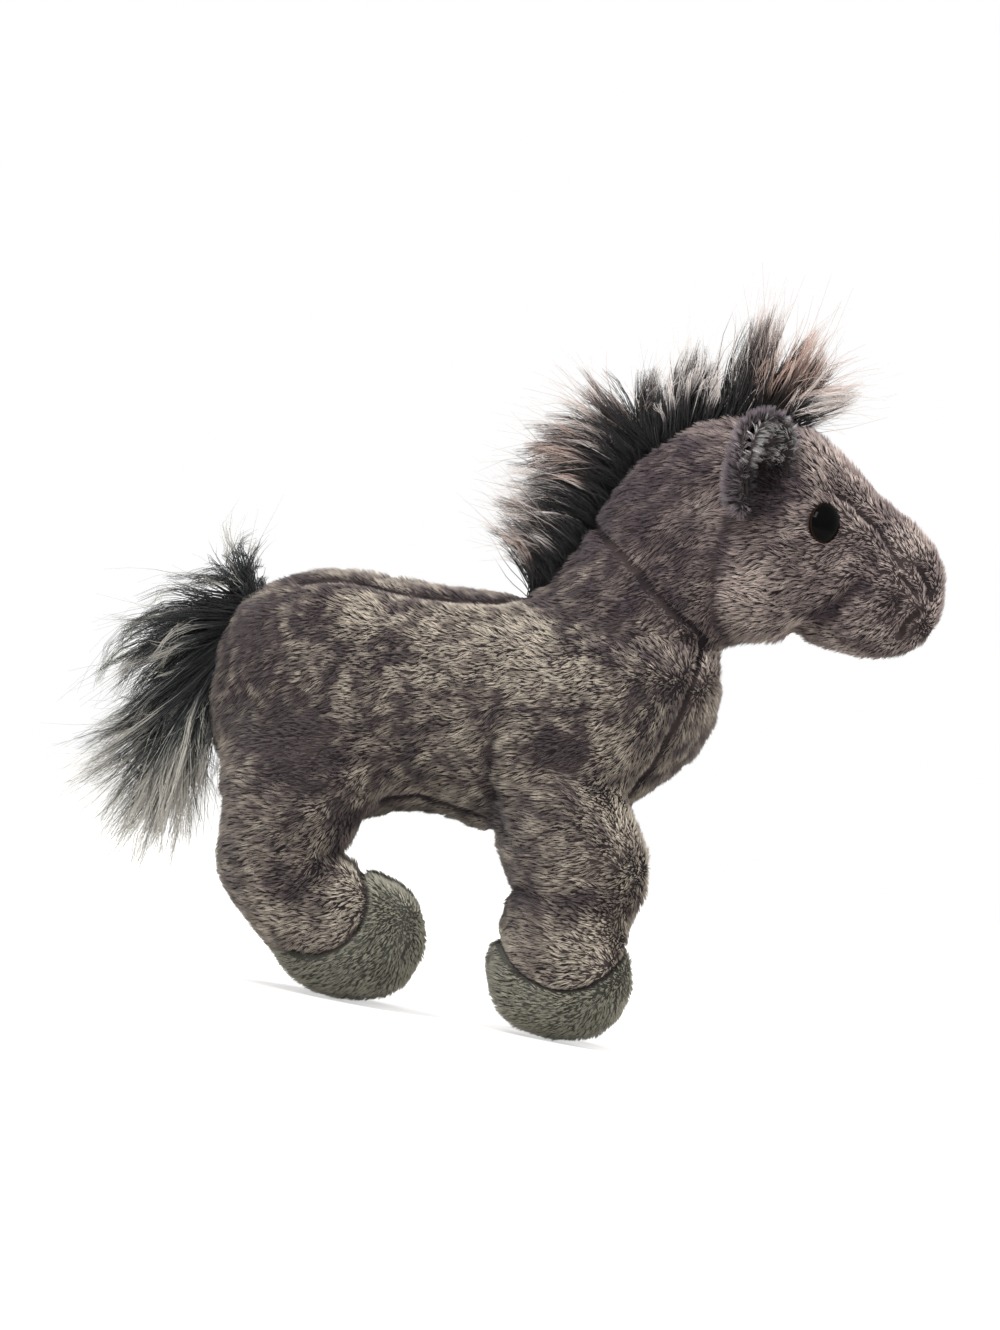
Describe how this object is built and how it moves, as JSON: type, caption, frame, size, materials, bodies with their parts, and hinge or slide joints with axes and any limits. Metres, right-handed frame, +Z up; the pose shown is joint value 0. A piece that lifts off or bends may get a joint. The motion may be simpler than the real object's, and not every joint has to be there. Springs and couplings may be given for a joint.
{
  "type": "plush horse",
  "caption": "Standing stuffed plush horse with mottled short pile, plain hooves, shaggy mane, forelock and tail, flexing legs, neck, head, ears and tail.",
  "frame": {"origin": "on the floor, under the middle of the horse's overall length and width", "axes": "+X from tail to nose, +Y to the horse's left, +Z up"},
  "size_m": [0.2508, 0.0808, 0.2327],
  "materials": {
    "printed_plush": "short printed pile, taupe grey mottled with dark purple brown",
    "printed_plush_dark": "the same pile, in its darker part",
    "hoof_plush": "short plain grey-green pile",
    "lining_plush": "short plain grey pile",
    "stuffing": "white polyester fibre",
    "eye_plastic": "moulded, glossy black with a brown rim",
    "washer_plastic": "natural white plastic",
    "hair_fibre": "long synthetic fibre, charcoal with silver and cream tips"
  },
  "bodies": {
    "torso": {"side_panel_left": "printed_plush", "side_panel_right": "printed_plush", "back_gusset": "printed_plush", "belly_gusset": "printed_plush_dark", "chest_gusset": "printed_plush", "torso_filling": "stuffing"},
    "neck": {"neck_panel_left": "printed_plush", "neck_panel_right": "printed_plush", "neck_filling": "stuffing", "mane": "hair_fibre"},
    "head": {"cheek_panel_left": "printed_plush", "cheek_panel_right": "printed_plush", "face_gusset": "printed_plush", "head_filling": "stuffing", "eye_left": "eye_plastic", "eye_right": "eye_plastic", "eye_washer_left": "washer_plastic", "eye_washer_right": "washer_plastic", "forelock": "hair_fibre"},
    "ear_left": {"ear_back_left": "printed_plush", "ear_lining_left": "lining_plush"},
    "ear_right": {"ear_back_right": "printed_plush", "ear_lining_right": "lining_plush"},
    "fore_leg_left": {"leg_skin_fore_left": "printed_plush", "hoof_fore_left": "hoof_plush", "leg_filling_fore_left": "stuffing"},
    "fore_leg_right": {"leg_skin_fore_right": "printed_plush", "hoof_fore_right": "hoof_plush", "leg_filling_fore_right": "stuffing"},
    "hind_leg_left": {"leg_skin_hind_left": "printed_plush", "hoof_hind_left": "hoof_plush", "leg_filling_hind_left": "stuffing"},
    "hind_leg_right": {"leg_skin_hind_right": "printed_plush", "hoof_hind_right": "hoof_plush", "leg_filling_hind_right": "stuffing"},
    "tail": {"tail": "hair_fibre"}
  },
  "joints": [
    {"name": "neck_nod", "type": "hinge", "parent": "torso", "child": "neck", "pos_m": [0.03274, 0, 0.13301], "axis": [0, 1, 0], "range_deg": [-12, 5], "stiffness_Nm_per_rad": 0.6},
    {"name": "head_tilt", "type": "hinge", "parent": "neck", "child": "head", "pos_m": [0.05374, 0, 0.15853], "axis": [0.9344, 0, 0.3561], "range_deg": [-15, 15], "stiffness_Nm_per_rad": 0.3},
    {"name": "ear_fold_left", "type": "hinge", "parent": "head", "child": "ear_left", "pos_m": [0.06287, 0.02705, 0.17535], "axis": [-0.766, 0.6428, 0], "range_deg": [0, 20], "stiffness_Nm_per_rad": 0.01},
    {"name": "ear_fold_right", "type": "hinge", "parent": "head", "child": "ear_right", "pos_m": [0.06287, -0.02705, 0.17535], "axis": [0.766, 0.6428, 0], "range_deg": [0, 20], "stiffness_Nm_per_rad": 0.01},
    {"name": "fore_leg_swing_left", "type": "hinge", "parent": "torso", "child": "fore_leg_left", "pos_m": [0.02573, 0, 0.064], "axis": [0, 1, 0], "range_deg": [-15, 12], "stiffness_Nm_per_rad": 0.5},
    {"name": "hind_leg_swing_left", "type": "hinge", "parent": "torso", "child": "hind_leg_left", "pos_m": [-0.05631, 0, 0.06], "axis": [0, 1, 0], "range_deg": [-12, 15], "stiffness_Nm_per_rad": 0.5},
    {"name": "fore_leg_swing_right", "type": "hinge", "parent": "torso", "child": "fore_leg_right", "pos_m": [0.02573, 0, 0.064], "axis": [0, 1, 0], "range_deg": [-15, 12], "stiffness_Nm_per_rad": 0.5},
    {"name": "hind_leg_swing_right", "type": "hinge", "parent": "torso", "child": "hind_leg_right", "pos_m": [-0.05631, 0, 0.06], "axis": [0, 1, 0], "range_deg": [-12, 15], "stiffness_Nm_per_rad": 0.5},
    {"name": "tail_lift", "type": "hinge", "parent": "torso", "child": "tail", "pos_m": [-0.08647, 0, 0.10798], "axis": [0, 1, 0], "range_deg": [0, 40], "stiffness_Nm_per_rad": 0.02}
  ]
}
